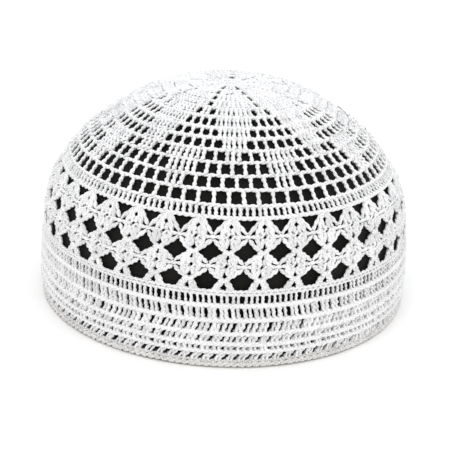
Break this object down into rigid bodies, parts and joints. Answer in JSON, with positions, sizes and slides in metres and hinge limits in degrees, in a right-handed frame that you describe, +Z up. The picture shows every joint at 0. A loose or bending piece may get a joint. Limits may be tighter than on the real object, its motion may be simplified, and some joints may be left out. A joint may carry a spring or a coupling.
{
  "type": "crochet cap",
  "caption": "Round white openwork crochet cap with a petal crown, shell lace band, plain ribbed side band, corded edging and a thin dark lining.",
  "frame": {"origin": "centre of the plane that the rim stands on, on the cap's axis", "axes": "+Z up through the middle of the crown; -Y towards the viewer, the side the picture shows; +X to the viewer's right"},
  "size_m": [0.1834, 0.1834, 0.1069],
  "materials": {
    "white_cotton_yarn": "matte mercerised cotton yarn with a faint sheen",
    "edging_yarn": "matte cotton cord, slightly warmer than the rest",
    "dark_lining_cloth": "matte charcoal plain weave"
  },
  "bodies": {
    "root": {"crown": "white_cotton_yarn", "lace_band": "white_cotton_yarn", "side_band": "white_cotton_yarn", "edging": "edging_yarn", "lining": "dark_lining_cloth"}
  },
  "joints": []
}
